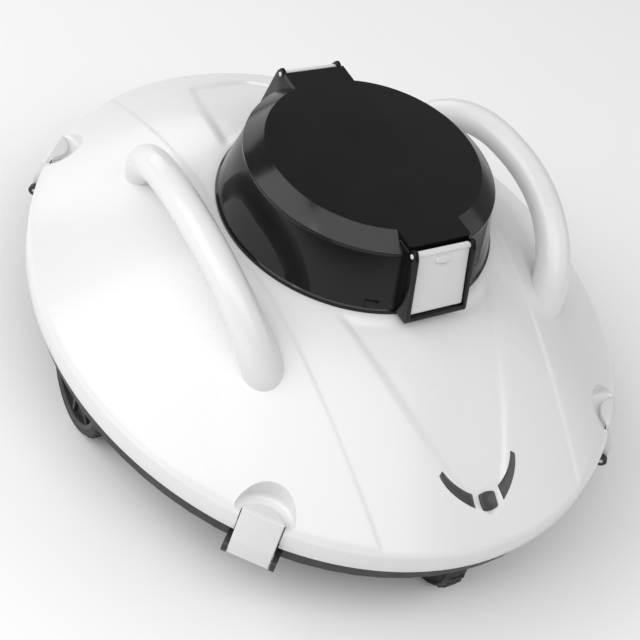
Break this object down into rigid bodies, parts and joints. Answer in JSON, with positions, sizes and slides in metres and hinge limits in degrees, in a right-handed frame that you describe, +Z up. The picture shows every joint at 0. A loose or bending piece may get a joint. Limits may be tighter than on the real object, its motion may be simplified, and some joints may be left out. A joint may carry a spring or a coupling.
{
  "type": "pool cleaner",
  "caption": "Cordless floor-crawling pool cleaner: white oval shell with grab bars over a black pan, wheels, latches and a black jet drum with hinged outlet flaps.",
  "frame": {"origin": "centre of the footprint at floor level, where the side wheels touch", "axes": "+X to the right seen from behind the nose, +Y towards the tail, so the nose with its windows faces -Y, +Z up"},
  "size_m": [0.37, 0.428, 0.1954],
  "materials": {
    "cover_white": "smooth gloss moulding",
    "drum_black": "high gloss moulding",
    "base_black": "fine satin grain",
    "inner_black": "plain moulding",
    "wheel_black": "satin moulding",
    "tyre_rubber": "matt tread",
    "smoked_lens": "smoked clear plastic",
    "stainless": "passivated",
    "seal_rubber": "soft moulded",
    "gasket_red": "flat cut",
    "mesh_grey": "woven",
    "motor_can": "drawn can",
    "impeller_grey": "moulded",
    "case_grey": "moulded",
    "cell_wrap": "shrink sleeve",
    "board_green": "solder mask",
    "socket_plastic": "moulded with a brass pin"
  },
  "bodies": {
    "hull": {"top_cover": "cover_white", "handle_left": "cover_white", "handle_right": "cover_white", "drum_body": "drum_black", "drum_lid": "drum_black", "base_pan": "base_black", "filter_tray": "inner_black", "filter_lid": "inner_black", "suction_duct": "inner_black", "duct_front": "inner_black", "duct_rear": "inner_black", "motor_capsule": "inner_black", "capsule_cap_front": "inner_black", "capsule_cap_rear": "inner_black", "status_window_left": "smoked_lens", "status_window_mid": "smoked_lens", "status_window_right": "smoked_lens", "handle_screws": "stainless", "drum_screws": "stainless", "latch_pins": "stainless", "side_axles": "stainless", "axle_screws": "stainless", "roller_axles": "stainless", "case_screws": "stainless", "drum_seal": "seal_rubber", "inlet_lips": "seal_rubber", "shaft_seals": "seal_rubber", "capsule_gaskets": "gasket_red", "filter_mesh": "mesh_grey", "motor_front": "motor_can", "motor_rear": "motor_can", "battery_case": "case_grey", "battery_lid": "case_grey", "control_case": "case_grey", "control_lid": "case_grey", "battery_cells": "cell_wrap", "circuit_board": "board_green", "light_board": "board_green", "charging_socket": "socket_plastic"},
    "flap_front": {"flap_front": "cover_white"},
    "flap_rear": {"flap_rear": "cover_white"},
    "latch_front_left": {"latch_front_left": "cover_white"},
    "latch_front_right": {"latch_front_right": "cover_white"},
    "latch_rear_left": {"latch_rear_left": "cover_white"},
    "latch_rear_right": {"latch_rear_right": "cover_white"},
    "wheel_left": {"wheel_left": "wheel_black", "tyre_left": "tyre_rubber"},
    "wheel_right": {"wheel_right": "wheel_black", "tyre_right": "tyre_rubber"},
    "wheel_front": {"wheel_front": "tyre_rubber"},
    "wheel_rear": {"wheel_rear": "tyre_rubber"},
    "pump_front": {"impeller_front": "impeller_grey", "shaft_front": "stainless"},
    "pump_rear": {"impeller_rear": "impeller_grey", "shaft_rear": "stainless"},
    "inlet_flap_front": {"inlet_flap_front": "seal_rubber"},
    "inlet_flap_rear": {"inlet_flap_rear": "seal_rubber"},
    "power_button": {"power_button": "seal_rubber"},
    "charging_cap": {"charging_cap": "seal_rubber"}
  },
  "joints": [
    {"name": "flap_front_hinge", "type": "hinge", "parent": "hull", "child": "flap_front", "pos_m": [0, -0.0853, 0.1914], "axis": [-1, 0, 0], "range_deg": [0, 55]},
    {"name": "flap_rear_hinge", "type": "hinge", "parent": "hull", "child": "flap_rear", "pos_m": [0, 0.0773, 0.1914], "axis": [1, 0, 0], "range_deg": [0, 55]},
    {"name": "latch_front_left_hinge", "type": "hinge", "parent": "hull", "child": "latch_front_left", "pos_m": [-0.12881, -0.15896, 0.0565], "axis": [0.6799, -0.7334, 0], "range_deg": [0, 95]},
    {"name": "latch_front_right_hinge", "type": "hinge", "parent": "hull", "child": "latch_front_right", "pos_m": [0.12881, -0.15896, 0.0565], "axis": [0.6799, 0.7334, 0], "range_deg": [0, 95]},
    {"name": "latch_rear_left_hinge", "type": "hinge", "parent": "hull", "child": "latch_rear_left", "pos_m": [-0.12881, 0.15896, 0.0565], "axis": [-0.6799, -0.7334, 0], "range_deg": [0, 95]},
    {"name": "latch_rear_right_hinge", "type": "hinge", "parent": "hull", "child": "latch_rear_right", "pos_m": [0.12881, 0.15896, 0.0565], "axis": [-0.6799, 0.7334, 0], "range_deg": [0, 95]},
    {"name": "wheel_left_axle", "type": "hinge", "parent": "hull", "child": "wheel_left", "pos_m": [-0.158, 0, 0.036], "axis": [1, 0, 0], "continuous": true},
    {"name": "wheel_right_axle", "type": "hinge", "parent": "hull", "child": "wheel_right", "pos_m": [0.158, 0, 0.036], "axis": [1, 0, 0], "continuous": true},
    {"name": "wheel_front_axle", "type": "hinge", "parent": "hull", "child": "wheel_front", "pos_m": [0, -0.175, 0.025], "axis": [1, 0, 0], "continuous": true},
    {"name": "wheel_rear_axle", "type": "hinge", "parent": "hull", "child": "wheel_rear", "pos_m": [0, 0.175, 0.025], "axis": [1, 0, 0], "continuous": true},
    {"name": "pump_front_shaft", "type": "hinge", "parent": "hull", "child": "pump_front", "pos_m": [0, -0.067, 0.172], "axis": [0, 1, 0], "continuous": true},
    {"name": "pump_rear_shaft", "type": "hinge", "parent": "hull", "child": "pump_rear", "pos_m": [0, 0.059, 0.172], "axis": [0, 1, 0], "continuous": true},
    {"name": "inlet_flap_front_hinge", "type": "hinge", "parent": "hull", "child": "inlet_flap_front", "pos_m": [0, -0.0475, 0.0241], "axis": [-1, 0, 0], "range_deg": [0, 65]},
    {"name": "inlet_flap_rear_hinge", "type": "hinge", "parent": "hull", "child": "inlet_flap_rear", "pos_m": [0, 0.0395, 0.0241], "axis": [1, 0, 0], "range_deg": [0, 65]},
    {"name": "power_button_press", "type": "slide", "parent": "hull", "child": "power_button", "axis": [0, 0, 1], "range_m": [0, 0.0015], "stiffness_N_per_m": 500, "springref_m": -0.0005},
    {"name": "charging_cap_hinge", "type": "hinge", "parent": "hull", "child": "charging_cap", "pos_m": [0.1105, 0.03, 0.01435], "axis": [0, -1, 0], "range_deg": [0, 110]}
  ]
}
